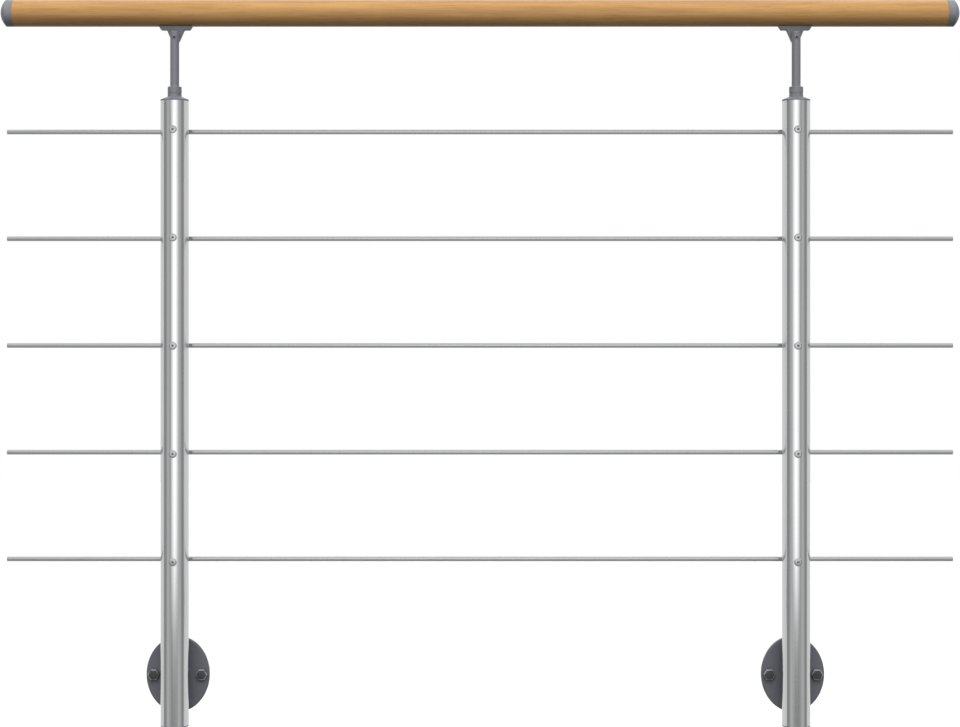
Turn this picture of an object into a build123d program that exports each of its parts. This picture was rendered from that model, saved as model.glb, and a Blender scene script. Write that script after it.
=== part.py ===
from build123d import *
import math
import os

# Wall-hung railing: two round posts on oval wall plates, five rods behind the posts, a round handrail on top.
# Millimetres. The origin is the centre of the left wall plate's back face.
# +X runs along the railing to the right, +Y points into the wall, +Z is up.

# Posts
post_diameter = 44.0
post_wall = 2.0
post_length = 981.0
post_pitch = 978.0
post_below_plate = 73.7

# Wall plates, each with a boss that carries the post
plate_width = 100.0
plate_height = 120.0
plate_thickness = 8.0
plate_edge_round = 2.0
boss_width = 30.0
boss_height = 86.0
boss_depth = 12.5
boss_edge_round = 3.0

# Screws into the wall, two in each plate
wall_screw_spacing = 76.0
wall_screw_diameter = 10.0
wall_screw_hole_gap = 0.5
wall_screw_head_across_flats = 17.0
wall_screw_head_height = 6.5
wall_screw_head_bevel = 1.0
wall_screw_thread_diameter = 9.4
wall_screw_thread_length = 58.0
wall_screw_plain_past_plate = 2.0
wall_screw_tip = 3.0

# Countersunk screws that hold the post on its boss, from the plate's back
post_screw_spacing = 56.0
post_screw_diameter = 8.0
post_screw_head_diameter = 16.0
post_screw_sunk = 0.3
post_screw_reach = 9.0
post_screw_socket_across_flats = 5.0
post_screw_socket_depth = 2.5

# Infill rods
rod_count = 5
rod_diameter = 7.5
rod_left_overhang = 269.5
rod_right_overhang = 252.5
rod_pitch = 169.3
rod_below_post_top = 45.8
rod_end_bevel = 0.5

# Seats between the post's back and each rod
seat_width = 48.0
seat_height = 5.2
seat_web = 0.8
seat_groove = 1.5
seat_horn = 6.0
seat_corner_round = 4.0

# Screws from the post's front into the rods
rod_screw_diameter = 4.0
rod_screw_head_diameter = 12.6
rod_screw_flange = 1.0
rod_screw_crown = 1.0
rod_screw_bite = 5.0
rod_screw_socket_across_flats = 3.0
rod_screw_socket_depth = 1.8

# Cap on each post, with the collar that holds the handrail's arm
cap_diameter = 44.0
cap_rim = 2.5
cap_rise = 4.6
cap_rim_round = 0.6
collar_diameter = 22.0
collar_height = 15.8
collar_edge_round = 1.5
collar_groove_width = 2.2
collar_groove_depth = 0.5
collar_groove_height = 3.4
cap_sleeve_length = 25.0
cap_sleeve_wall = 2.5
cap_socket_depth = 32.0
cap_socket_wall = 3.0

# Plug in each post's lower end
plug_rim = 2.0
plug_sleeve_length = 18.0
plug_sleeve_wall = 2.5
plug_rim_round = 0.8

# Arm from the collar up to the handrail's saddle
arm_diameter = 14.0
arm_back_flat = 5.5
arm_flat_height = 22.0
arm_above_pivot = 10.1
arm_end_bevel = 1.2
pivot_above_post = 100.1

# Screw at the arm's pivot
pivot_screw_diameter = 5.0
pivot_screw_head_diameter = 6.0
pivot_screw_head_height = 1.6
pivot_screw_seat_depth = 1.3
pivot_screw_socket_across_flats = 3.0
pivot_screw_socket_depth = 2.4
pivot_screw_end_cover = 3.0

# Saddle under the handrail, a flat casting whose lug lies behind the arm
saddle_length = 53.0
saddle_bottom_length = 45.0
saddle_thickness = 5.6
saddle_height = 6.3
saddle_corner_round = 1.0
lug_thickness = 13.0
lug_tip_radius = 7.0
lug_top_half_width = 13.4
lug_root_round = 2.0
saddle_screw_spacing = 37.0
saddle_screw_diameter = 4.0
saddle_screw_head_diameter = 7.6
saddle_screw_length = 14.0
saddle_screw_sunk = 0.2

# Handrail
handrail_diameter = 42.0
handrail_wall = 2.0
handrail_left_overhang = 256.1
handrail_right_overhang = 239.2
handrail_above_pivot = 40.2
handrail_behind_post = 12.5
handrail_end_bevel = 0.4

# Caps on the handrail's ends
end_cap_side = 11.1
end_cap_dome = 8.9
end_cap_edge_round = 0.7
end_cap_sleeve_length = 22.0
end_cap_sleeve_wall = 2.5

# Clearance between curved faces that seat on each other, and round a screw's shank
seat_gap = 0.1
shank_gap = 0.15

post_radius = post_diameter / 2
post_inner_radius = post_radius - post_wall
post_y = -(plate_thickness + boss_depth + post_radius)
post_bottom = -post_below_plate
post_top = post_bottom + post_length
rod_radius = rod_diameter / 2
rod_y = post_y + post_radius + 2 * seat_gap + seat_web + rod_radius
rod_length = rod_left_overhang + post_pitch + rod_right_overhang
rod_lowest = post_top - rod_below_post_top - rod_pitch * (rod_count - 1)
rod_heights = [rod_lowest + rod_pitch * index for index in range(rod_count)]
collar_bottom = post_top + cap_rim + cap_rise
collar_top = collar_bottom + collar_height
arm_bottom = collar_top - cap_socket_depth
pivot_height = post_top + pivot_above_post
arm_top = pivot_height + arm_above_pivot
handrail_radius = handrail_diameter / 2
handrail_length = handrail_left_overhang + post_pitch + handrail_right_overhang
handrail_y = post_y + handrail_behind_post
handrail_height = pivot_height + handrail_above_pivot
sides = {"left": 0.0, "right": post_pitch}


def along_x(radius, length, x, y, z):
    return Pos(x, y, z) * Rot(0, 90, 0) * Cylinder(
        radius, length, align=(Align.CENTER, Align.CENTER, Align.MIN)
    )


def along_y(radius, length, x, y, z):
    return Pos(x, y, z) * Rot(-90, 0, 0) * Cylinder(
        radius, length, align=(Align.CENTER, Align.CENTER, Align.MIN)
    )


def along_z(radius, length, x, y, z):
    return Pos(x, y, z) * Cylinder(
        radius, length, align=(Align.CENTER, Align.CENTER, Align.MIN)
    )


def hex_along_y(across_flats, length, x, y, z):
    """A hexagonal prism with flats at its top and bottom."""
    outline = RegularPolygon(across_flats / 2, 6, major_radius=False)
    return Pos(x, y, z) * Rot(-90, 0, 0) * extrude(outline, length)


def cone_along(direction, wide_radius, narrow_radius, length, x, y, z):
    """A cone whose wide end is at the given point and which narrows along the direction."""
    cone = Cone(wide_radius, narrow_radius, length, align=(Align.CENTER, Align.CENTER, Align.MIN))
    return Plane(origin=(x, y, z), z_dir=direction) * cone


def post_body(x, radius):
    return along_z(radius, post_length, x, post_y, post_bottom)


def make_post(x):
    tube = post_body(x, post_radius) - post_body(x, post_inner_radius)
    hole_radius = rod_screw_diameter / 2 + shank_gap
    for height in rod_heights:
        tube -= along_y(hole_radius, post_diameter, x, post_y - post_radius, height)
    for height in (-post_screw_spacing / 2, post_screw_spacing / 2):
        tube -= along_y(post_screw_diameter / 2 + shank_gap, post_radius, x, post_y, height)
    return tube


def make_wall_plate(x):
    outline = Ellipse(plate_width / 2, plate_height / 2)
    plate = Pos(x, 0, 0) * Rot(90, 0, 0) * extrude(outline, plate_thickness)
    front_rim = plate.edges().sort_by(Axis.Y)[0]
    plate = fillet(front_rim, plate_edge_round)
    boss_length = boss_depth + post_radius
    boss_outline = RectangleRounded(boss_width, boss_height, boss_edge_round)
    boss = Pos(x, -plate_thickness, 0) * Rot(90, 0, 0) * extrude(boss_outline, boss_length)
    plate = plate + (boss - post_body(x, post_radius + seat_gap))
    plate -= front_of_post(x)
    for side in (-1, 1):
        plate -= along_y(
            wall_screw_diameter / 2 + wall_screw_hole_gap,
            plate_thickness,
            x + side * wall_screw_spacing / 2,
            -plate_thickness,
            0,
        )
    for height in (-post_screw_spacing / 2, post_screw_spacing / 2):
        plate -= along_y(post_screw_diameter / 2 + shank_gap, -post_y, x, post_y, height)
        plate -= cone_along(
            (0, -1, 0),
            post_screw_head_diameter / 2 + shank_gap,
            post_screw_diameter / 2 + shank_gap,
            (post_screw_head_diameter - post_screw_diameter) / 2,
            x,
            0,
            height,
        )
    return plate


def front_of_post(x):
    """The space in front of the plane through the post's axis, which no boss reaches."""
    depth = post_diameter
    return Pos(x, post_y, 0) * Box(
        plate_width, depth, plate_height, align=(Align.CENTER, Align.MAX, Align.CENTER)
    )


def make_wall_screw(x):
    head = hex_along_y(
        wall_screw_head_across_flats, wall_screw_head_height, x, -plate_thickness - wall_screw_head_height, 0
    )
    bevel_radius = wall_screw_head_across_flats / math.sqrt(3) + wall_screw_head_bevel
    head &= cone_along(
        (0, -1, 0),
        bevel_radius + wall_screw_head_height,
        bevel_radius - 2 * wall_screw_head_bevel,
        wall_screw_head_height + 2 * wall_screw_head_bevel,
        x,
        -plate_thickness + 2 * wall_screw_head_bevel,
        0,
    )
    plain = along_y(
        wall_screw_diameter / 2,
        plate_thickness + wall_screw_plain_past_plate,
        x,
        -plate_thickness,
        0,
    )
    thread_radius = wall_screw_thread_diameter / 2
    thread = along_y(thread_radius, wall_screw_thread_length, x, wall_screw_plain_past_plate, 0)
    tip = cone_along(
        (0, 1, 0),
        thread_radius,
        thread_radius / 2,
        wall_screw_tip,
        x,
        wall_screw_plain_past_plate + wall_screw_thread_length,
        0,
    )
    return head + plain + thread + tip


def make_post_screw(x, height):
    reach = post_screw_sunk - (post_y + post_inner_radius) + post_screw_reach
    screw = along_y(post_screw_diameter / 2, reach - 2 * post_screw_sunk, x, -reach + post_screw_sunk, height)
    screw += cone_along(
        (0, -1, 0),
        post_screw_head_diameter / 2 - post_screw_sunk,
        post_screw_diameter / 2,
        (post_screw_head_diameter - post_screw_diameter) / 2 - post_screw_sunk,
        x,
        -post_screw_sunk,
        height,
    )
    screw -= hex_along_y(
        post_screw_socket_across_flats,
        post_screw_socket_depth,
        x,
        -post_screw_sunk - post_screw_socket_depth,
        height,
    )
    return screw


def make_rod(height):
    rod = along_x(rod_radius, rod_length, -rod_left_overhang, rod_y, height)
    rod = chamfer(rod.edges().filter_by(GeomType.CIRCLE), rod_end_bevel)
    for x in sides.values():
        rod -= along_y(
            rod_screw_diameter / 2 + seat_gap / 2,
            rod_screw_bite + seat_gap,
            x,
            rod_y - rod_radius,
            height,
        )
    return rod


def make_rod_seat(x, height):
    front = post_y + post_radius - seat_horn + seat_web
    back = rod_y - rod_radius - seat_gap + seat_groove
    outline = Pos(x, (front + back) / 2) * Rectangle(seat_width, back - front)
    back_corners = outline.vertices().group_by(Axis.Y)[-1]
    outline = fillet(back_corners, seat_corner_round)
    seat = Pos(0, 0, height - seat_height / 2) * extrude(outline, seat_height)
    seat -= post_body(x, post_radius + seat_gap)
    seat -= along_x(rod_radius + seat_gap, seat_width, x - seat_width / 2, rod_y, height)
    seat -= along_y(rod_screw_diameter / 2 + shank_gap, back - front, x, front, height)
    return seat


def make_rod_screw(x, height):
    """A low round head on a flange that follows the post, with a hexagonal socket."""
    head_radius = rod_screw_head_diameter / 2
    sagitta = post_radius - math.sqrt(post_radius**2 - head_radius**2)
    flange_front = post_y - post_radius - seat_gap - rod_screw_flange
    flange = along_y(head_radius, rod_screw_flange + sagitta + seat_gap, x, flange_front, height)
    flange -= post_body(x, post_radius + seat_gap)
    crown_radius = (head_radius**2 + rod_screw_crown**2) / (2 * rod_screw_crown)
    ball = Pos(x, flange_front - rod_screw_crown + crown_radius, height) * Sphere(crown_radius)
    crown = ball & along_y(head_radius, rod_screw_crown, x, flange_front - rod_screw_crown, height)
    shank_end = rod_y - rod_radius + rod_screw_bite
    shank = along_y(rod_screw_diameter / 2, shank_end - flange_front, x, flange_front, height)
    socket = hex_along_y(
        rod_screw_socket_across_flats,
        rod_screw_socket_depth,
        x,
        flange_front - rod_screw_crown,
        height,
    )
    return flange + crown + shank - socket


def circle_edges(shape, radius, height):
    """The shape's circular edges about Z that have this radius at this height."""
    circles = shape.edges().filter_by(GeomType.CIRCLE)
    return circles.filter_by(
        lambda edge: abs(edge.radius - radius) < seat_gap
        and abs(edge.arc_center.Z - height) < seat_gap
    )


def make_post_cap(x):
    rim_radius = cap_diameter / 2
    collar_radius = collar_diameter / 2
    sleeve_radius = post_inner_radius - seat_gap
    socket_radius = arm_diameter / 2 + seat_gap
    socket_floor = collar_top - cap_socket_depth - seat_gap
    profile = Polyline(
        (0, socket_floor),
        (socket_radius, socket_floor),
        (socket_radius, collar_top),
        (collar_radius, collar_top),
        (collar_radius, collar_bottom),
        (rim_radius, post_top + cap_rim),
        (rim_radius, post_top),
        (sleeve_radius, post_top),
        (sleeve_radius, post_top - cap_sleeve_length),
        (sleeve_radius - cap_sleeve_wall, post_top - cap_sleeve_length),
        (sleeve_radius - cap_sleeve_wall, post_top),
        (socket_radius + cap_socket_wall, post_top),
        (socket_radius + cap_socket_wall, socket_floor - cap_socket_wall),
        (0, socket_floor - cap_socket_wall),
        close=True,
    )
    cap = revolve(Plane.XZ * make_face(profile), Axis.Z)
    cap = fillet(circle_edges(cap, collar_radius, collar_top), collar_edge_round)
    cap = fillet(circle_edges(cap, rim_radius, post_top + cap_rim), cap_rim_round)
    groove = along_z(collar_radius + cap_rise, collar_groove_width, 0, 0, collar_bottom + collar_groove_height)
    groove -= along_z(
        collar_radius - collar_groove_depth,
        collar_groove_width,
        0,
        0,
        collar_bottom + collar_groove_height,
    )
    return Pos(x, post_y, 0) * (cap - groove)


def make_post_plug(x):
    sleeve_radius = post_inner_radius - seat_gap
    rim = along_z(post_radius, plug_rim, x, post_y, post_bottom - plug_rim)
    rim = fillet(rim.edges().sort_by(Axis.Z)[0], plug_rim_round)
    sleeve = along_z(sleeve_radius, plug_sleeve_length, x, post_y, post_bottom)
    sleeve -= along_z(
        sleeve_radius - plug_sleeve_wall, plug_sleeve_length, x, post_y, post_bottom
    )
    return rim + sleeve


def make_arm(x):
    arm_radius = arm_diameter / 2
    arm = along_z(arm_radius, arm_top - arm_bottom, x, post_y, arm_bottom)
    arm = chamfer(arm.edges().filter_by(GeomType.CIRCLE), arm_end_bevel)
    arm -= Pos(x, post_y + arm_back_flat, arm_top) * Box(
        arm_diameter,
        arm_diameter,
        2 * arm_flat_height,
        align=(Align.CENTER, Align.MIN, Align.CENTER),
    )
    seat_y = post_y - arm_radius + pivot_screw_seat_depth
    seat_radius = pivot_screw_head_diameter / 2 + shank_gap
    arm -= along_y(seat_radius, arm_diameter, x, seat_y - arm_diameter, pivot_height)
    arm -= along_y(
        pivot_screw_diameter / 2 + shank_gap, arm_diameter, x, post_y - arm_radius, pivot_height
    )
    return arm


def make_pivot_screw(x):
    seat_y = post_y - arm_diameter / 2 + pivot_screw_seat_depth
    head_radius = pivot_screw_head_diameter / 2
    head = along_y(head_radius, pivot_screw_head_height, x, seat_y - pivot_screw_head_height, pivot_height)
    front_edge = head.edges().filter_by(GeomType.CIRCLE).sort_by(Axis.Y)[0]
    head = fillet(front_edge, pivot_screw_head_height / 2)
    shank_end = post_y + arm_back_flat + seat_gap + lug_thickness - pivot_screw_end_cover
    shank = along_y(pivot_screw_diameter / 2, shank_end - seat_y, x, seat_y, pivot_height)
    socket = hex_along_y(
        pivot_screw_socket_across_flats,
        pivot_screw_socket_depth,
        x,
        seat_y - pivot_screw_head_height,
        pivot_height,
    )
    return head + shank - socket


def make_saddle(x):
    inner = handrail_radius + seat_gap
    outer = inner + saddle_thickness
    left = x - saddle_length / 2
    flange = make_face(
        Polyline(
            (-saddle_length / 2, saddle_height - outer),
            (-saddle_bottom_length / 2, -outer),
            (saddle_bottom_length / 2, -outer),
            (saddle_length / 2, saddle_height - outer),
            close=True,
        )
    )
    tip = Pos(0, pivot_height - handrail_height) * Circle(lug_tip_radius)
    top_line = Line((-lug_top_half_width, -outer), (lug_top_half_width, -outer))
    outline = flange + make_hull(tip.edges() + top_line.edges())
    for half_width, rounding in (
        (saddle_bottom_length / 2, saddle_corner_round),
        (lug_top_half_width, lug_root_round),
    ):
        outline = fillet(corners_at(outline, half_width, -outer), rounding)
    lug_front = post_y + arm_back_flat + seat_gap
    casting = Pos(x, lug_front, handrail_height) * extrude(Plane.XZ * outline, -lug_thickness)
    holes = [
        along_x(inner, saddle_length, left, handrail_y, handrail_height),
        along_y(
            pivot_screw_diameter / 2 + seat_gap / 2,
            lug_thickness - pivot_screw_end_cover + seat_gap,
            x,
            lug_front,
            pivot_height,
        ),
    ]
    for side in (-1, 1):
        screw_x = x + side * saddle_screw_spacing / 2
        hole_radius = saddle_screw_diameter / 2 + shank_gap
        holes.append(along_z(hole_radius, outer, screw_x, handrail_y, handrail_height - outer))
        holes.append(saddle_screw_cone(screw_x, outer, shank_gap))
    return casting - holes


def corners_at(outline, half_width, height):
    """The outline's two corners at this height and this far to each side."""
    return outline.vertices().filter_by(
        lambda corner: abs(abs(corner.X) - half_width) < seat_gap and abs(corner.Y - height) < seat_gap
    )


def saddle_screw_cone(x, outer, gap):
    """The countersink under the saddle, or the screw's head in it, narrowing upwards."""
    head_radius = saddle_screw_head_diameter / 2 + gap
    shank_radius = saddle_screw_diameter / 2 + gap
    bottom = handrail_height - outer + saddle_screw_sunk - gap
    return cone_along(
        (0, 0, 1), head_radius, shank_radius, head_radius - shank_radius, x, handrail_y, bottom
    )


def make_saddle_screw(x):
    outer = handrail_radius + seat_gap + saddle_thickness
    bottom = handrail_height - outer + saddle_screw_sunk
    shank = along_z(saddle_screw_diameter / 2, saddle_screw_length, x, handrail_y, bottom)
    return shank + saddle_screw_cone(x, outer, 0)


def make_handrail():
    start = -handrail_left_overhang
    tube = along_x(handrail_radius, handrail_length, start, handrail_y, handrail_height)
    tube = chamfer(tube.edges().filter_by(GeomType.CIRCLE), handrail_end_bevel)
    tube -= along_x(
        handrail_radius - handrail_wall, handrail_length, start, handrail_y, handrail_height
    )
    for x in sides.values():
        for side in (-1, 1):
            tube -= along_z(
                saddle_screw_diameter / 2 + seat_gap / 2,
                handrail_radius,
                x + side * saddle_screw_spacing / 2,
                handrail_y,
                handrail_height - handrail_radius,
            )
    return tube


def make_handrail_cap(mirrored):
    """A domed cap, made with its face on the handrail's end at zero and its dome along local +Z."""
    side_end = end_cap_side
    sphere_radius = (handrail_radius**2 + end_cap_dome**2) / (2 * end_cap_dome)
    ball = Pos(0, 0, side_end + end_cap_dome - sphere_radius) * Sphere(sphere_radius)
    body = along_z(handrail_radius, side_end + end_cap_dome, 0, 0, 0)
    cap = body & (ball + along_z(handrail_radius, side_end, 0, 0, 0))
    cap = fillet(circle_edges(cap, handrail_radius, side_end), end_cap_edge_round)
    sleeve_radius = handrail_radius - handrail_wall - seat_gap
    sleeve = along_z(sleeve_radius, end_cap_sleeve_length, 0, 0, -end_cap_sleeve_length)
    sleeve -= along_z(
        sleeve_radius - end_cap_sleeve_wall, end_cap_sleeve_length, 0, 0, -end_cap_sleeve_length
    )
    cap += sleeve
    end_x = post_pitch + handrail_right_overhang if mirrored else -handrail_left_overhang
    outward = 90 if mirrored else -90
    return Pos(end_x, handrail_y, handrail_height) * Rot(0, outward, 0) * cap


def make_side(name, x):
    """Every piece that belongs to one post."""
    pieces = {
        f"post_{name}": make_post(x),
        f"post_cap_{name}": make_post_cap(x),
        f"post_plug_{name}": make_post_plug(x),
        f"wall_plate_{name}": make_wall_plate(x),
        f"handrail_arm_{name}": make_arm(x),
        f"handrail_saddle_{name}": make_saddle(x),
        f"pivot_screw_{name}": make_pivot_screw(x),
        f"handrail_cap_{name}": make_handrail_cap(name == "right"),
    }
    pieces[f"wall_screws_{name}"] = Compound(
        children=[make_wall_screw(x + side * wall_screw_spacing / 2) for side in (-1, 1)]
    )
    pieces[f"post_screws_{name}"] = Compound(
        children=[make_post_screw(x, side * post_screw_spacing / 2) for side in (-1, 1)]
    )
    pieces[f"saddle_screws_{name}"] = Compound(
        children=[make_saddle_screw(x + side * saddle_screw_spacing / 2) for side in (-1, 1)]
    )
    pieces[f"rod_screws_{name}"] = Compound(
        children=[make_rod_screw(x, height) for height in rod_heights]
    )
    for number, height in enumerate(rod_heights, start=1):
        pieces[f"rod_seat_{name}_{number}"] = make_rod_seat(x, height)
    return pieces


def make_railing():
    pieces = {"handrail": make_handrail()}
    for number, height in enumerate(rod_heights, start=1):
        pieces[f"rod_{number}"] = make_rod(height)
    for name, x in sides.items():
        pieces.update(make_side(name, x))
    return pieces


os.makedirs("parts", exist_ok=True)
for node, shape in make_railing().items():
    export_step(shape, f"parts/{node}.step")
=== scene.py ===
import math

import bmesh
import bpy
from mathutils import Matrix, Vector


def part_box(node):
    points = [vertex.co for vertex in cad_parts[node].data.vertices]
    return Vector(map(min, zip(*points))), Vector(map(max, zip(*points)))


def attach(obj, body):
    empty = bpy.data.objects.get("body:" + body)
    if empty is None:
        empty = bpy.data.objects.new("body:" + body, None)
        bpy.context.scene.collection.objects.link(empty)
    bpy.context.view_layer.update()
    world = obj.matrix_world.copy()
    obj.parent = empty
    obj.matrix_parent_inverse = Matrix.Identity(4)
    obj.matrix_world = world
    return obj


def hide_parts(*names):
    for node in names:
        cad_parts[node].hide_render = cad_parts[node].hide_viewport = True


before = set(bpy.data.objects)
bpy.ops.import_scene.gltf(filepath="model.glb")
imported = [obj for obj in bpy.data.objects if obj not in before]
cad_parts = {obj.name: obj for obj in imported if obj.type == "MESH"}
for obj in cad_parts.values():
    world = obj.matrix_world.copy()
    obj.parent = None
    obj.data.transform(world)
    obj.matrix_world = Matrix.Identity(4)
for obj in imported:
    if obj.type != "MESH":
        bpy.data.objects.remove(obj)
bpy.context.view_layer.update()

# Places and sizes of the railing that several pieces share, in metres
mm = 0.001
sides = ("left", "right")
post_low, post_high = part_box("post_left")
post_radius = (post_high.x - post_low.x) / 2
post_y = post_low.y + post_radius
plate_front = -8.0 * mm
rod_boxes = [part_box(f"rod_{number}") for number in range(1, 6)]
rod_heights = [(low.z + high.z) / 2 for low, high in rod_boxes]
rod_front = rod_boxes[0][0].y

# Corners nearer than the first lie in one plane or ring, and corners nearer than the second are merged.
same_place = 0.01 * mm
merge_distance = 0.002 * mm

# The camera, which stands at the picture's viewing distance and looks level along +Y
middle_x = 0.4805
camera_height = 0.5558
camera_distance = 3.3
image_width = 960
sensor_width = 36.0
focal_pixels = 2097.0
picture_shift_pixels = 38.8

# The stage, in metres
floor_height = -0.6
floor_reach = 12.0
panel_half_width = 2.6
panel_top = 2.4
panel_behind_camera = 0.1

# A Mix node has sockets of one name for each kind of data. These are the numbers of those for colours.
mix_factor = 0
mix_first = 6
mix_second = 7
mix_result = 2


def linear(colour):
    """An sRGB hex colour as linear red, green, blue and alpha, by the sRGB standard's curve."""
    channels = [int(colour[place:place + 2], 16) / 255 for place in (1, 3, 5)]
    return [c / 12.92 if c <= 0.04045 else ((c + 0.055) / 1.055) ** 2.4 for c in channels] + [1.0]


def grey(level):
    return (level, level, level, 1.0)


def pattern_scale(*sizes):
    """The scale of a pattern whose marks have these sizes along X, Y and Z, in the units of its place."""
    return tuple(1 / size for size in sizes)


def add(tree, kind, inputs=None, stops=None, **settings):
    """Adds a node and gives its outputs. An input is a value, or the socket that it is linked from."""
    made = tree.nodes.new(kind)
    for name, value in settings.items():
        setattr(made, name, value)
    for key, value in (inputs or {}).items():
        if isinstance(value, bpy.types.NodeSocket):
            tree.links.new(value, made.inputs[key])
        else:
            made.inputs[key].default_value = value
    if stops:
        ramp = made.color_ramp
        while len(ramp.elements) < len(stops):
            ramp.elements.new(1.0)
        for element, (position, colour) in zip(ramp.elements, stops):
            element.position = position
            element.color = colour
    return made.outputs


def new_material(name):
    material = bpy.data.materials.new(name)
    material.use_nodes = True
    tree = material.node_tree
    tree.nodes.clear()
    return material, tree


def place_in_mm(tree):
    """The place on the piece in millimetres, for patterns of a real size."""
    place = add(tree, "ShaderNodeTexCoord")["Object"]
    return add(tree, "ShaderNodeMapping", {"Vector": place, "Scale": pattern_scale(mm, mm, mm)})["Vector"]


def polished_aluminium(name, line_sizes, dull, bright, least_rough, most_rough):
    """Drawn, polished, clear anodised aluminium: a bright mirror, softened, with faint lines along it."""
    material, tree = new_material(name)
    place = place_in_mm(tree)
    cloud_size = 60
    line_place = add(
        tree, "ShaderNodeMapping", {"Vector": place, "Scale": pattern_scale(*line_sizes)}
    )["Vector"]
    lines = add(
        tree,
        "ShaderNodeTexNoise",
        {"Vector": line_place, "Scale": 1.0, "Detail": 3.0, "Roughness": 0.6},
    )["Fac"]
    clouds = add(tree, "ShaderNodeTexNoise", {"Vector": place, "Scale": 1 / cloud_size})["Fac"]
    colour = add(
        tree,
        "ShaderNodeMix",
        {mix_factor: clouds, mix_first: linear(dull), mix_second: linear(bright)},
        data_type="RGBA",
    )[mix_result]
    roughness = add(
        tree,
        "ShaderNodeMapRange",
        {"Value": lines, "From Min": 0.3, "From Max": 0.7, "To Min": least_rough, "To Max": most_rough},
    )["Result"]
    relief = add(tree, "ShaderNodeBump", {"Height": lines, "Strength": 1.0, "Distance": 0.004 * mm})["Normal"]
    shader = add(
        tree,
        "ShaderNodeBsdfPrincipled",
        {"Base Color": colour, "Metallic": 1.0, "Roughness": roughness, "Normal": relief},
    )["BSDF"]
    add(tree, "ShaderNodeOutputMaterial", {"Surface": shader})
    return material


def wood_grain_film():
    """Printed film on the tube: honey brown, fine streaks, broad pale bands, satin under clear lacquer."""
    material, tree = new_material("wood_grain_film")
    place = place_in_mm(tree)
    # Lengths along the rail and widths across it, in millimetres
    wave_sizes = (260, 30, 30)
    band_sizes = (240, 9, 9)
    streak_sizes = (60, 2.4, 2.4)
    sway = 6
    # Real pores are about 0.3 mm wide, and are drawn at 0.9 mm so that they show.
    pore_sizes = (14, 0.9, 0.9)
    wave_place = add(
        tree, "ShaderNodeMapping", {"Vector": place, "Scale": pattern_scale(*wave_sizes)}
    )["Vector"]
    waves = add(tree, "ShaderNodeTexNoise", {"Vector": wave_place, "Scale": 1.0, "Detail": 1.0})["Fac"]
    height = add(tree, "ShaderNodeMapRange", {"Value": waves, "To Min": -sway, "To Max": sway})["Result"]
    drift = add(tree, "ShaderNodeCombineXYZ", {"Y": height})["Vector"]
    swaying = add(tree, "ShaderNodeVectorMath", {0: place, 1: drift}, operation="ADD")["Vector"]
    band_place = add(
        tree, "ShaderNodeMapping", {"Vector": swaying, "Scale": pattern_scale(*band_sizes)}
    )["Vector"]
    bands = add(tree, "ShaderNodeTexNoise", {"Vector": band_place, "Scale": 1.0})["Fac"]
    paleness = add(tree, "ShaderNodeMapRange", {"Value": bands, "From Min": 0.32, "From Max": 0.68})["Result"]
    ground = add(
        tree,
        "ShaderNodeMix",
        {mix_factor: paleness, mix_first: linear("#B1824A"), mix_second: linear("#C59656")},
        data_type="RGBA",
    )[mix_result]
    streak_place = add(
        tree, "ShaderNodeMapping", {"Vector": swaying, "Scale": pattern_scale(*streak_sizes)}
    )["Vector"]
    streaks = add(
        tree,
        "ShaderNodeTexNoise",
        {"Vector": streak_place, "Scale": 1.0, "Detail": 4.0, "Roughness": 0.6},
    )["Fac"]
    streak_strength = add(
        tree, "ShaderNodeMapRange", {"Value": streaks, "From Min": 0.48, "From Max": 0.72, "To Max": 0.55}
    )["Result"]
    streaked = add(
        tree,
        "ShaderNodeMix",
        {mix_factor: streak_strength, mix_first: ground, mix_second: linear("#976836")},
        data_type="RGBA",
    )[mix_result]
    pore_place = add(
        tree, "ShaderNodeMapping", {"Vector": place, "Scale": pattern_scale(*pore_sizes)}
    )["Vector"]
    pores = add(tree, "ShaderNodeTexNoise", {"Vector": pore_place, "Scale": 1.0})["Fac"]
    pore_strength = add(
        tree, "ShaderNodeMapRange", {"Value": pores, "From Min": 0.6, "From Max": 0.74, "To Max": 0.35}
    )["Result"]
    colour = add(
        tree,
        "ShaderNodeMix",
        {mix_factor: pore_strength, mix_first: streaked, mix_second: linear("#845930")},
        data_type="RGBA",
    )[mix_result]
    roughness = add(
        tree,
        "ShaderNodeMapRange",
        {"Value": streaks, "From Min": 0.3, "From Max": 0.7, "To Min": 0.36, "To Max": 0.46},
    )["Result"]
    relief = add(tree, "ShaderNodeBump", {"Height": pores, "Strength": 1.0, "Distance": 0.02 * mm})["Normal"]
    shader = add(
        tree,
        "ShaderNodeBsdfPrincipled",
        {
            "Base Color": colour,
            "Roughness": roughness,
            "Normal": relief,
            "Coat Weight": 0.15,
            "Coat Roughness": 0.2,
        },
    )["BSDF"]
    add(tree, "ShaderNodeOutputMaterial", {"Surface": shader})
    return material


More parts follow.
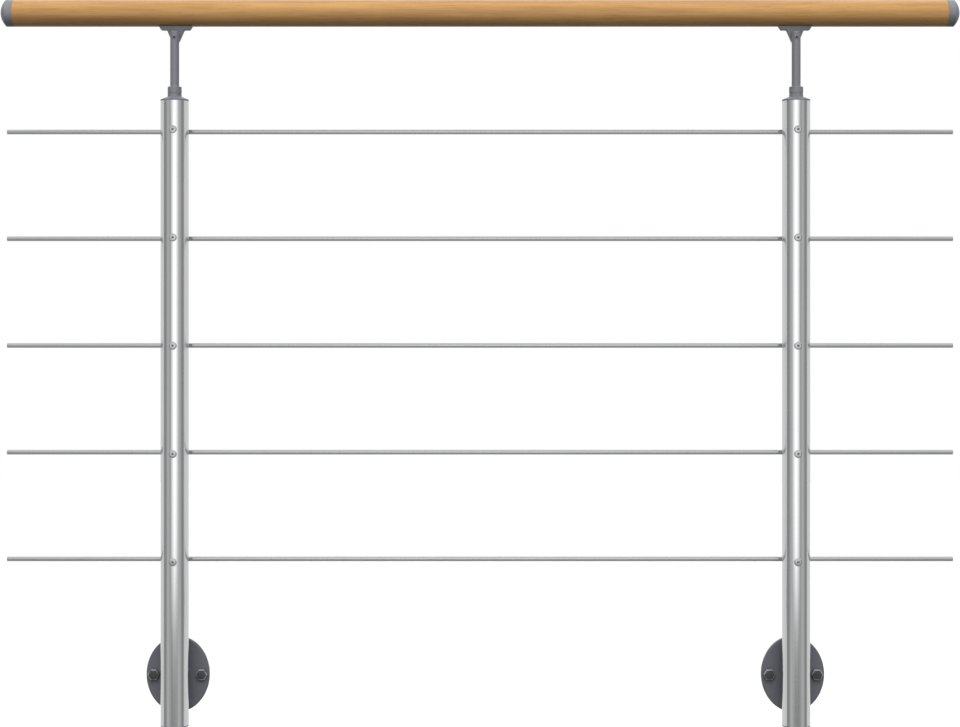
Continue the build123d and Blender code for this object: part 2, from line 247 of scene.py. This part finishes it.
def powder_coat(name, main, pale):
    """Powder coating: an even satin colour, soft orange peel, fine pale specks, and sockets painted near
    black as painted shade.
    """
    material, tree = new_material(name)
    place = place_in_mm(tree)
    # Real orange peel is about 1 mm across and real specks 0.5 mm. Both are drawn larger so that they show.
    peel_size = 1.8
    speck_size = 1.2
    peel = add(tree, "ShaderNodeTexNoise", {"Vector": place, "Scale": 1 / peel_size})["Fac"]
    specks = add(tree, "ShaderNodeTexNoise", {"Vector": place, "Scale": 1 / speck_size, "Detail": 1.0})["Fac"]
    paleness = add(tree, "ShaderNodeMapRange", {"Value": specks, "From Min": 0.5, "From Max": 0.75})["Result"]
    speckled = add(
        tree,
        "ShaderNodeMix",
        {mix_factor: paleness, mix_first: linear(main), mix_second: linear(pale)},
        data_type="RGBA",
    )[mix_result]
    # Faces marked as a socket are painted near black: painted shade for the dark inside of the recess.
    socket = add(tree, "ShaderNodeAttribute", attribute_name="socket")["Fac"]
    colour = add(
        tree,
        "ShaderNodeMix",
        {mix_factor: socket, mix_first: speckled, mix_second: linear("#161617")},
        data_type="RGBA",
    )[mix_result]
    roughness = add(
        tree,
        "ShaderNodeMapRange",
        {"Value": peel, "From Min": 0.3, "From Max": 0.7, "To Min": 0.36, "To Max": 0.46},
    )["Result"]
    relief = add(tree, "ShaderNodeBump", {"Height": peel, "Strength": 1.0, "Distance": 0.05 * mm})["Normal"]
    shader = add(
        tree,
        "ShaderNodeBsdfPrincipled",
        {"Base Color": colour, "Roughness": roughness, "Normal": relief},
    )["BSDF"]
    add(tree, "ShaderNodeOutputMaterial", {"Surface": shader})
    return material


def moulded_plastic(name, main, pale):
    """Moulded ABS: satin, with the fine erosion grain of its mould and slight clouding."""
    material, tree = new_material(name)
    place = place_in_mm(tree)
    # Real erosion grain is about 0.2 mm, and is drawn at 0.9 mm so that it shows.
    grain_size = 0.9
    cloud_size = 12
    grain = add(tree, "ShaderNodeTexNoise", {"Vector": place, "Scale": 1 / grain_size})["Fac"]
    clouds = add(tree, "ShaderNodeTexNoise", {"Vector": place, "Scale": 1 / cloud_size})["Fac"]
    paleness = add(tree, "ShaderNodeMapRange", {"Value": clouds, "From Min": 0.3, "From Max": 0.7})["Result"]
    colour = add(
        tree,
        "ShaderNodeMix",
        {mix_factor: paleness, mix_first: linear(main), mix_second: linear(pale)},
        data_type="RGBA",
    )[mix_result]
    roughness = add(
        tree,
        "ShaderNodeMapRange",
        {"Value": grain, "From Min": 0.3, "From Max": 0.7, "To Min": 0.4, "To Max": 0.5},
    )["Result"]
    relief = add(tree, "ShaderNodeBump", {"Height": grain, "Strength": 1.0, "Distance": 0.03 * mm})["Normal"]
    shader = add(
        tree,
        "ShaderNodeBsdfPrincipled",
        {"Base Color": colour, "Roughness": roughness, "Normal": relief},
    )["BSDF"]
    add(tree, "ShaderNodeOutputMaterial", {"Surface": shader})
    return material


def blackened_steel():
    """Forged and blackened steel: dull and near black, with a painted highlight on the head's bevelled edges,
    broken up by noise.
    """
    material, tree = new_material("dark_steel")
    place = place_in_mm(tree)
    forged_size = 2.5
    highlight_breakup_size = 6
    forged = add(
        tree, "ShaderNodeTexNoise", {"Vector": place, "Scale": 1 / forged_size, "Detail": 3.0}
    )["Fac"]
    # This noise breaks the bevels' painted highlight into lit and unlit stretches.
    highlight_breakup = add(tree, "ShaderNodeTexNoise", {"Vector": place, "Scale": 1 / highlight_breakup_size})["Fac"]
    highlight_breakup = add(
        tree, "ShaderNodeMapRange", {"Value": highlight_breakup, "From Min": 0.4, "From Max": 0.55, "To Min": 0.25}
    )["Result"]
    # The head's front bevels get a pale, more metallic grey: a painted highlight for light caught on the
    # edges.
    painted_highlight_bevels = add(tree, "ShaderNodeAttribute", attribute_name="painted_highlight_bevels")["Fac"]
    bright = add(tree, "ShaderNodeMath", {0: painted_highlight_bevels, 1: highlight_breakup}, operation="MULTIPLY")["Value"]
    black = add(
        tree,
        "ShaderNodeMix",
        {mix_factor: forged, mix_first: linear("#38393B"), mix_second: linear("#4C4D50")},
        data_type="RGBA",
    )[mix_result]
    colour = add(
        tree,
        "ShaderNodeMix",
        {mix_factor: bright, mix_first: black, mix_second: linear("#A9ABAE")},
        data_type="RGBA",
    )[mix_result]
    metallic = add(tree, "ShaderNodeMapRange", {"Value": bright, "To Min": 0.35, "To Max": 0.6})["Result"]
    roughness = add(
        tree,
        "ShaderNodeMapRange",
        {"Value": forged, "From Min": 0.3, "From Max": 0.7, "To Min": 0.38, "To Max": 0.5},
    )["Result"]
    relief = add(tree, "ShaderNodeBump", {"Height": forged, "Strength": 1.0, "Distance": 0.04 * mm})["Normal"]
    shader = add(
        tree,
        "ShaderNodeBsdfPrincipled",
        {"Base Color": colour, "Metallic": metallic, "Roughness": roughness, "Normal": relief},
    )["BSDF"]
    add(tree, "ShaderNodeOutputMaterial", {"Surface": shader})
    return material


def bright_steel():
    """Turned stainless steel: a soft grey mirror, a little uneven."""
    material, tree = new_material("bright_steel")
    place = place_in_mm(tree)
    # Real turning marks are about 0.1 mm, and are drawn as marks of 1.5 mm so that they show.
    mark_size = 1.5
    marks = add(tree, "ShaderNodeTexNoise", {"Vector": place, "Scale": 1 / mark_size, "Detail": 3.0})["Fac"]
    colour = add(
        tree,
        "ShaderNodeMix",
        {mix_factor: marks, mix_first: linear("#BBBCBD"), mix_second: linear("#C6C7C8")},
        data_type="RGBA",
    )[mix_result]
    roughness = add(
        tree,
        "ShaderNodeMapRange",
        {"Value": marks, "From Min": 0.3, "From Max": 0.7, "To Min": 0.2, "To Max": 0.28},
    )["Result"]
    shader = add(
        tree,
        "ShaderNodeBsdfPrincipled",
        {"Base Color": colour, "Metallic": 1.0, "Roughness": roughness},
    )["BSDF"]
    add(tree, "ShaderNodeOutputMaterial", {"Surface": shader})
    return material


# The faint lines on polished tubes, in millimetres: really 0.3 mm wide, and drawn wider so that they show
line_length = 500
line_width = 2.4

finishes = {
    "polished_aluminium_posts": polished_aluminium(
        "polished_aluminium_posts",
        (line_width, line_width, line_length),
        dull="#DFE0E1",
        bright="#E5E5E6",
        least_rough=0.13,
        most_rough=0.19,
    ),
    # The rods get a darker copy of the posts' aluminium, which dims their reflections: painted shade.
    "polished_aluminium_rods": polished_aluminium(
        "polished_aluminium_rods",
        (line_length, line_width, line_width),
        dull="#BEBFC1",
        bright="#C5C6C7",
        least_rough=0.2,
        most_rough=0.26,
    ),
    "wood_grain_film": wood_grain_film(),
    "anthracite_plastic": moulded_plastic("anthracite_plastic", "#72747A", "#7B7D82"),
    # The seats get a paler copy of the caps' plastic, lifting the shade that the post casts on them: painted
    # light.
    "anthracite_plastic_seats": moulded_plastic("anthracite_plastic_seats", "#84868B", "#8D8F93"),
    "grey_plastic": moulded_plastic("grey_plastic", "#787A82", "#818289"),
    # One coating in three colours: darkest on the plates, paler on the saddles in the rail's shade, palest on
    # the arms, as painted light and shade.
    "anthracite_coated_aluminium_plates": powder_coat(
        "anthracite_coated_aluminium_plates", "#595A61", "#62636A"
    ),
    "anthracite_coated_aluminium_saddles": powder_coat(
        "anthracite_coated_aluminium_saddles", "#676A71", "#71737A"
    ),
    "anthracite_coated_aluminium_arms": powder_coat(
        "anthracite_coated_aluminium_arms", "#797980", "#828289"
    ),
    # The pivot screws take the arms' pale colour, so they carry the same painted light.
    "anthracite_coated_steel": powder_coat("anthracite_coated_steel", "#797980", "#828289"),
    "dark_steel": blackened_steel(),
    "bright_steel": bright_steel(),
}

# Lighter and darker copies of one slot's finish for different pieces, as painted light and shade for how each
# piece is lit: a name's start and the ending of its finish
lit_and_shaded_copies = {
    ("rod_", "polished_aluminium"): "_rods",
    ("post_", "polished_aluminium"): "_posts",
    ("rod_seat_", "anthracite_plastic"): "_seats",
    ("wall_plate_", "anthracite_coated_aluminium"): "_plates",
    ("handrail_saddle_", "anthracite_coated_aluminium"): "_saddles",
    ("handrail_arm_", "anthracite_coated_aluminium"): "_arms",
}


def finish_of(name, slot):
    """The finish of a piece with this name, out of those of its slot."""
    for (start, own_slot), ending in lit_and_shaded_copies.items():
        if name.startswith(start) and slot == own_slot:
            return finishes[slot + ending]
    return finishes[slot]


def paint_cad_nodes():
    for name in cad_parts:
        obj = bpy.data.objects[name]
        obj.material_slots[0].material = finish_of(name, obj.data.materials[0].name)


def finish_piece(bm, name, node, slot, sharp_above):
    """Makes the piece from its mesh, smooth except at edges sharper than this many degrees."""
    bmesh.ops.remove_doubles(bm, verts=bm.verts, dist=merge_distance)
    bmesh.ops.recalc_face_normals(bm, faces=bm.faces)
    mesh = bpy.data.meshes.new(name)
    bm.to_mesh(mesh)
    bm.free()
    mesh.shade_smooth()
    mesh.set_sharp_from_angle(angle=math.radians(sharp_above))
    mesh.materials.append(finish_of(node, slot))
    piece = bpy.data.objects.new(name, mesh)
    bpy.context.scene.collection.objects.link(piece)
    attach(piece, "root")
    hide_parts(node)


def bevel_edges(bm, edges, width, segments):
    """Bevels the edges and gives the new faces."""
    return bmesh.ops.bevel(
        bm, geom=edges, offset=width, segments=segments, profile=0.5, affect="EDGES", material=-1
    )["faces"]


def turn_profile(bm, profile, x, y, z, steps):
    """Turns (radius, depth) points about an axis along Y through the place. Depth grows towards +Y."""
    ring = [bm.verts.new((x + radius, y + depth, z)) for radius, depth in profile]
    edges = [bm.edges.new(pair) for pair in zip(ring, ring[1:])]
    bmesh.ops.spin(
        bm,
        geom=ring + edges,
        cent=(x, y, z),
        axis=(0, 1, 0),
        angle=2 * math.pi,
        steps=steps,
        use_merge=True,
    )


def make_saddle(side):
    """The cast saddle under the handrail: a flat flange with a lug, hollowed on top where the rail lies."""
    slot = "anthracite_coated_aluminium"
    low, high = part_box(f"handrail_saddle_{side}")
    rail_low, rail_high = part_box("handrail")
    rail_radius = (rail_high.z - rail_low.z) / 2
    rail_y = (rail_low.y + rail_high.y) / 2
    rail_z = (rail_low.z + rail_high.z) / 2
    x = (low.x + high.x) / 2
    flange_bottom = high.z - 6.3 * mm
    rim_bevel = 0.5 * mm
    # Half width, height and rounding of each corner, from the flange's top down to the lug's end
    outline = [
        (26.5 * mm, high.z, 0),
        (22.5 * mm, flange_bottom, 1.0 * mm),
        (13.4 * mm, flange_bottom, 1.8 * mm),
        (4.6 * mm, low.z, 4.4 * mm),
    ]
    corners = outline + [(-half, z, rounding) for half, z, rounding in reversed(outline)]
    bm = bmesh.new()
    verts = [bm.verts.new((x + half, low.y, z)) for half, z, rounding in corners]
    bm.faces.new(verts)
    for vert, (half, z, rounding) in zip(verts, corners):
        if rounding:
            bmesh.ops.bevel(
                bm, geom=[vert], offset=rounding, segments=6, profile=0.5, affect="VERTICES", material=-1
            )
    made = bmesh.ops.extrude_face_region(bm, geom=bm.faces[:])["geom"]
    back = [item for item in made if isinstance(item, bmesh.types.BMVert)]
    bmesh.ops.translate(bm, verts=back, vec=(0, high.y - low.y, 0))
    top_sides = [
        edge
        for edge in bm.edges
        if all(abs(vert.co.z - high.z) < same_place for vert in edge.verts)
        and abs(edge.verts[0].co.x - edge.verts[1].co.x) < same_place
    ]
    bmesh.ops.subdivide_edges(bm, edges=top_sides, cuts=11)
    for vert in bm.verts:
        off_axis = abs(vert.co.y - rail_y)
        if abs(vert.co.z - high.z) < same_place and off_axis < rail_radius:
            vert.co.z = min(high.z, rail_z - math.sqrt(rail_radius**2 - off_axis**2))
    rims = [
        edge
        for edge in bm.edges
        if all(abs(vert.co.y - low.y) < same_place for vert in edge.verts)
        or all(abs(vert.co.y - high.y) < same_place for vert in edge.verts)
    ]
    bevel_edges(bm, rims, rim_bevel, segments=2)
    finish_piece(bm, f"cast_saddle_{side}", f"handrail_saddle_{side}", slot, sharp_above=35)


def add_screw_thread(bm, x, start, end):
    """A coach screw's coarse thread from start to end along Y, tapering to its point."""
    pitch = 4.5 * mm
    root = 3.5 * mm
    crest = 4.85 * mm
    taper = 9.0 * mm
    point_share = 0.12
    steps = 24
    turns = int((end - start) / pitch) - 1
    start = end - (turns + 1) * pitch
    # Radius, and the share of a turn's rise at which it lies
    profile = [(root, 0.0), (root, 0.62), (crest, 0.78), (crest, 0.84), (root, 1.0)]
    verts = [bm.verts.new((x + radius, start + share * pitch, 0)) for radius, share in profile]
    edges = [bm.edges.new(pair) for pair in zip(verts, verts[1:])]
    before = set(bm.verts) - set(verts)
    bmesh.ops.spin(
        bm,
        geom=verts + edges,
        cent=(x, 0, 0),
        axis=(0, 1, 0),
        dvec=(0, pitch / steps, 0),
        angle=2 * math.pi * turns,
        steps=steps * turns,
    )
    thread = [vert for vert in bm.verts if vert not in before]
    bmesh.ops.remove_doubles(bm, verts=thread, dist=same_place)
    rims = [edge for edge in bm.edges if edge.is_boundary and edge.verts[0] not in before]
    bmesh.ops.holes_fill(bm, edges=rims)
    for vert in bm.verts:
        past = vert.co.y - (end - taper)
        if vert not in before and past > 0:
            share = max(point_share, 1 - past / taper * (1 - point_share))
            vert.co.x = x + (vert.co.x - x) * share
            vert.co.z *= share


def make_wall_screws(side):
    """Coach screws: a hexagon head with bevelled corners, a plain shank through the plate, and the thread."""
    low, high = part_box(f"wall_screws_{side}")
    head_half = (high.z - low.z) / 2
    corner_radius = 2 * head_half / math.sqrt(3)
    corner_bevel = 0.5 * mm
    face_bevel = 1.5 * mm
    shank_start = plate_front - 1.0 * mm
    shank_profile = [
        (0.0, 0.0),
        (5.0 * mm, 0.0),
        (5.0 * mm, 10.0 * mm),
        (4.4 * mm, 10.6 * mm),
        (0.0, 10.6 * mm),
    ]
    thread_start = -3.0 * mm
    facing_front = Matrix.Rotation(math.radians(90), 4, "X")
    flat_on_top = Matrix.Rotation(math.radians(30), 4, "Z")
    bm = bmesh.new()
    painted_highlight_bevels = bm.faces.layers.float.new("painted_highlight_bevels")
    for x in (low.x + corner_radius, high.x - corner_radius):
        place = Matrix.Translation((x, plate_front, 0)) @ facing_front @ flat_on_top
        made = bmesh.ops.create_circle(bm, cap_ends=True, segments=6, radius=corner_radius, matrix=place)
        base = made["verts"][0].link_faces[0]
        grown = bmesh.ops.extrude_face_region(bm, geom=[base])["geom"]
        front = [item for item in grown if isinstance(item, bmesh.types.BMVert)]
        bmesh.ops.translate(bm, verts=front, vec=(0, low.y - plate_front, 0))
        face = next(item for item in grown if isinstance(item, bmesh.types.BMFace))
        rim = list(face.edges)
        uprights = [edge for vert in front for edge in vert.link_edges if edge not in rim]
        bevel_edges(bm, uprights, corner_bevel, segments=2)
        rim = [
            edge
            for edge in bm.edges
            if all(abs(vert.co.y - low.y) < same_place for vert in edge.verts)
            and abs((edge.verts[0].co.x + edge.verts[1].co.x) / 2 - x) < corner_radius
        ]
        # The front bevels are marked for the painted highlight that the finish puts on them.
        for bevelled in bevel_edges(bm, rim, face_bevel, segments=3):
            bevelled[painted_highlight_bevels] = 1.0
        turn_profile(bm, shank_profile, x, shank_start, 0, steps=32)
        add_screw_thread(bm, x, thread_start, high.y)
    finish_piece(bm, f"coach_screws_{side}", f"wall_screws_{side}", "dark_steel", sharp_above=40)


def add_socket_screw(bm, profile, x, y, z, socket_half):
    """A turned screw whose ring of this radius becomes a hexagon socket, marked as one for the powder coat's
    painted shade. Gives its corners.
    """
    sixth = math.pi / 3
    # A hexagon's corners lie 1.155 times as far from its middle as its flats do.
    within_corners = 1.16 * socket_half
    socket = bm.faces.layers.float["socket"]
    before = set(bm.verts)
    turn_profile(bm, profile, x, y, z, steps=48)
    made = [vert for vert in bm.verts if vert not in before]
    for vert in made:
        across = vert.co.x - x
        up = vert.co.z - z
        if abs(math.hypot(across, up) - socket_half) < same_place:
            sector = (math.atan2(up, across) + sixth / 2) % sixth - sixth / 2
            stretch = 1 / math.cos(sector)
            vert.co.x = x + across * stretch
            vert.co.z = z + up * stretch
            for face in vert.link_faces:
                reach = max(math.hypot(corner.co.x - x, corner.co.z - z) for corner in face.verts)
                if reach < within_corners:
                    face[socket] = 1.0
    return made


def make_rod_screws(side):
    """Low screws on the post's front: a flat face, a bevelled rim, a hexagon socket and a shank on each."""
    low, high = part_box(f"rod_screws_{side}")
    x = (low.x + high.x) / 2
    head_radius = (high.x - low.x) / 2
    post_front = post_y - post_radius
    seat = 0.1 * mm
    rise = post_front - low.y
    shank_radius = 2.0 * mm
    shank_end = rod_front + 5.0 * mm - post_front
    socket_half = 1.6 * mm
    socket_depth = 2.4 * mm
    # Radius, and depth behind the post's front: socket, face, rim and shank
    profile = [
        (0.0, socket_depth + 1.0 * mm - rise),
        (socket_half, socket_depth - rise),
        (socket_half, 0.25 * mm - rise),
        (socket_half + 0.35 * mm, 0.02 * mm - rise),
        (3.4 * mm, -rise),
        (4.6 * mm, 0.08 * mm - rise),
        (5.0 * mm, 0.2 * mm - rise),
        (head_radius - 0.15 * mm, 1.35 * mm - rise),
        (head_radius, 1.6 * mm - rise),
        (head_radius, 0.0),
        (shank_radius, 0.0),
        (shank_radius, shank_end),
        (0.0, shank_end),
    ]
    bm = bmesh.new()
    bm.faces.layers.float.new("socket")
    for z in rod_heights:
        for vert in add_socket_screw(bm, profile, x, post_front, z, socket_half):
            if abs(vert.co.y - post_front) < same_place:
                across = vert.co.x - x
                vert.co.y = post_y - math.sqrt((post_radius + seat) ** 2 - across**2)
    finish_piece(bm, f"button_screws_{side}", f"rod_screws_{side}", "bright_steel", sharp_above=30)


def make_pivot_screw(side):
    """The small screw at the arm's pivot, nearly flush, with a deep hexagon socket."""
    low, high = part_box(f"pivot_screw_{side}")
    head_radius = (high.z - low.z) / 2
    head_height = 1.6 * mm
    shank_radius = 2.5 * mm
    socket_half = 1.5 * mm
    socket_depth = 2.4 * mm
    length = high.y - low.y
    # Radius and depth behind the screw's face: socket, face, rim and shank
    profile = [
        (0.0, socket_depth + 0.7 * mm),
        (socket_half, socket_depth),
        (socket_half, 0.2 * mm),
        (socket_half + 0.3 * mm, 0.0),
        (head_radius - 0.8 * mm, 0.0),
        (head_radius - 0.25 * mm, 0.25 * mm),
        (head_radius, 0.8 * mm),
        (head_radius, head_height),
        (shank_radius, head_height),
        (shank_radius, length),
        (0.0, length),
    ]
    bm = bmesh.new()
    # The socket faces carry the mark that the coating paints near black as painted shade.
    bm.faces.layers.float.new("socket")
    add_socket_screw(bm, profile, (low.x + high.x) / 2, low.y, (low.z + high.z) / 2, socket_half)
    slot = "anthracite_coated_steel"
    finish_piece(bm, f"socket_screw_{side}", f"pivot_screw_{side}", slot, sharp_above=30)


def make_world():
    """White for the camera, a studio of soft panels for reflections, and a soft sky for matt surfaces."""
    world = bpy.data.worlds.new("studio")
    bpy.context.scene.world = world
    world.use_nodes = True
    tree = world.node_tree
    tree.nodes.clear()
    underside_level = 0.46
    direction = add(tree, "ShaderNodeTexCoord")["Generated"]
    parts = add(tree, "ShaderNodeSeparateXYZ", {"Vector": direction})
    sideways = add(tree, "ShaderNodeMath", {0: parts["X"]}, operation="ABSOLUTE")["Value"]
    forward = add(tree, "ShaderNodeMath", {0: parts["Y"], 1: -1.0}, operation="MULTIPLY")["Value"]
    angle = add(tree, "ShaderNodeMath", {0: sideways, 1: forward}, operation="ARCTAN2")["Value"]
    turn = add(tree, "ShaderNodeMath", {0: angle, 1: math.pi}, operation="DIVIDE")["Value"]
    # Brightness round the horizon by degrees from straight in front, the same to both sides
    ring_levels = {
        0: 0.26,
        14: 0.275,
        30: 0.38,
        45: 0.52,
        56: 0.47,
        66: 0.31,
        84: 0.24,
        94: 0.70,
        180: 0.80,
    }
    ring = add(
        tree,
        "ShaderNodeValToRGB",
        {"Fac": turn},
        stops=[(degrees / 180, grey(level)) for degrees, level in ring_levels.items()],
    )["Color"]
    # From the ring up to a white ceiling, and down to a grey underside
    above = add(
        tree, "ShaderNodeMapRange", {"Value": parts["Z"], "From Min": 0.38, "From Max": 0.66}
    )["Result"]
    studio = add(
        tree,
        "ShaderNodeMix",
        {mix_factor: above, mix_first: ring, mix_second: grey(1.0)},
        data_type="RGBA",
    )[mix_result]
    below = add(
        tree, "ShaderNodeMapRange", {"Value": parts["Z"], "From Min": -0.25, "From Max": -0.5}
    )["Result"]
    studio = add(
        tree,
        "ShaderNodeMix",
        {mix_factor: below, mix_first: studio, mix_second: grey(underside_level)},
        data_type="RGBA",
    )[mix_result]
    sky = add(tree, "ShaderNodeMapRange", {"Value": parts["Z"], "From Min": -1.0, "To Max": 0.46})["Result"]
    path = add(tree, "ShaderNodeLightPath")
    mirrored = add(
        tree,
        "ShaderNodeMath",
        {0: path["Is Glossy Ray"], 1: path["Is Transmission Ray"]},
        operation="ADD",
    )["Value"]
    lit = add(
        tree,
        "ShaderNodeMix",
        {mix_factor: mirrored, mix_first: sky, mix_second: studio},
        data_type="RGBA",
    )[mix_result]
    seen = add(
        tree,
        "ShaderNodeMix",
        {mix_factor: path["Is Camera Ray"], mix_first: lit, mix_second: grey(1.0)},
        data_type="RGBA",
    )[mix_result]
    background = add(tree, "ShaderNodeBackground", {"Color": seen, "Strength": 1.0})["Background"]
    add(tree, "ShaderNodeOutputWorld", {"Surface": background})


def stage_sheet(name, material, corners):
    """A flat four-cornered sheet of the stage."""
    mesh = bpy.data.meshes.new(name)
    bm = bmesh.new()
    bm.faces.new([bm.verts.new(corner) for corner in corners])
    bm.to_mesh(mesh)
    bm.free()
    mesh.materials.append(material)
    sheet = bpy.data.objects.new(name, mesh)
    bpy.context.scene.collection.objects.link(sheet)
    return sheet


def make_floor():
    """A pale matt floor well under the posts, pale enough to be white in this light."""
    material, tree = new_material("pale_floor")
    matt = add(tree, "ShaderNodeBsdfDiffuse", {"Color": linear("#E9E9E9")})["BSDF"]
    add(tree, "ShaderNodeOutputMaterial", {"Surface": matt})
    corners = [
        (-floor_reach, -floor_reach, floor_height),
        (floor_reach, -floor_reach, floor_height),
        (floor_reach, floor_reach, floor_height),
        (-floor_reach, floor_reach, floor_height),
    ]
    floor = stage_sheet("floor", material, corners)
    floor.visible_glossy = False
    floor.visible_diffuse = False


def make_front_panel():
    """A soft bright panel in front, seen only in reflections, brightest in its middle."""
    material, tree = new_material("front_panel")
    place = add(tree, "ShaderNodeTexCoord")["Object"]
    parts = add(tree, "ShaderNodeSeparateXYZ", {"Vector": place})
    off_middle = add(tree, "ShaderNodeMath", {0: parts["X"], 1: middle_x}, operation="SUBTRACT")["Value"]
    off_middle = add(tree, "ShaderNodeMath", {0: off_middle}, operation="ABSOLUTE")["Value"]
    across = add(
        tree,
        "ShaderNodeMapRange",
        {"Value": off_middle, "From Min": 0.2, "From Max": 2.5, "To Min": 1.2, "To Max": 0.0},
    )["Result"]
    up = add(
        tree,
        "ShaderNodeMapRange",
        {"Value": parts["Z"], "From Min": -0.41, "From Max": -0.25},
        interpolation_type="SMOOTHSTEP",
    )["Result"]
    dimmed = add(
        tree,
        "ShaderNodeMapRange",
        {"Value": parts["Z"], "From Min": 1.4, "From Max": 2.2, "To Min": 1.0, "To Max": 0.3},
    )["Result"]
    strength = add(tree, "ShaderNodeMath", {0: across, 1: up}, operation="MULTIPLY")["Value"]
    strength = add(tree, "ShaderNodeMath", {0: strength, 1: dimmed}, operation="MULTIPLY")["Value"]
    glow = add(tree, "ShaderNodeEmission", {"Color": grey(1.0), "Strength": strength})["Emission"]
    clear = add(tree, "ShaderNodeBsdfTransparent")["BSDF"]
    both = add(tree, "ShaderNodeAddShader", {0: glow, 1: clear})["Shader"]
    add(tree, "ShaderNodeOutputMaterial", {"Surface": both})
    left = middle_x - panel_half_width
    right = middle_x + panel_half_width
    y = post_y - camera_distance - panel_behind_camera
    corners = [
        (left, y, floor_height),
        (right, y, floor_height),
        (right, y, panel_top),
        (left, y, panel_top),
    ]
    panel = stage_sheet("front_panel", material, corners)
    panel.visible_camera = False
    panel.visible_diffuse = False
    panel.visible_shadow = False
    panel.visible_transmission = False
    panel.visible_volume_scatter = False


def make_lamp(name, elevation, azimuth, spread, strength):
    """A soft, far lamp. The azimuth is 0 straight in front and grows to the right, in degrees."""
    lamp = bpy.data.lights.new(name, "SUN")
    lamp.energy = strength * math.pi
    lamp.angle = math.radians(spread)
    holder = bpy.data.objects.new(name, lamp)
    holder.rotation_euler = (math.radians(90 - elevation), 0, math.radians(azimuth))
    holder.visible_glossy = False
    bpy.context.scene.collection.objects.link(holder)


def make_camera():
    camera = bpy.data.cameras.new("camera")
    camera.sensor_width = sensor_width
    camera.lens = focal_pixels / image_width * sensor_width
    camera.shift_y = -picture_shift_pixels / image_width
    holder = bpy.data.objects.new("camera", camera)
    holder.location = (middle_x, post_y - camera_distance, camera_height)
    holder.rotation_euler = (math.radians(90), 0, 0)
    bpy.context.scene.collection.objects.link(holder)
    bpy.context.scene.camera = holder


bpy.context.scene.view_settings.view_transform = "Standard"
paint_cad_nodes()
for side in sides:
    make_saddle(side)
    make_wall_screws(side)
    make_rod_screws(side)
    make_pivot_screw(side)
make_world()
make_floor()
make_front_panel()
make_lamp("key_lamp", elevation=48, azimuth=0, spread=50, strength=0.9)
make_lamp("fill_lamp", elevation=8, azimuth=0, spread=90, strength=0.16)
make_lamp("back_lamp", elevation=45, azimuth=180, spread=60, strength=0.35)
make_camera()
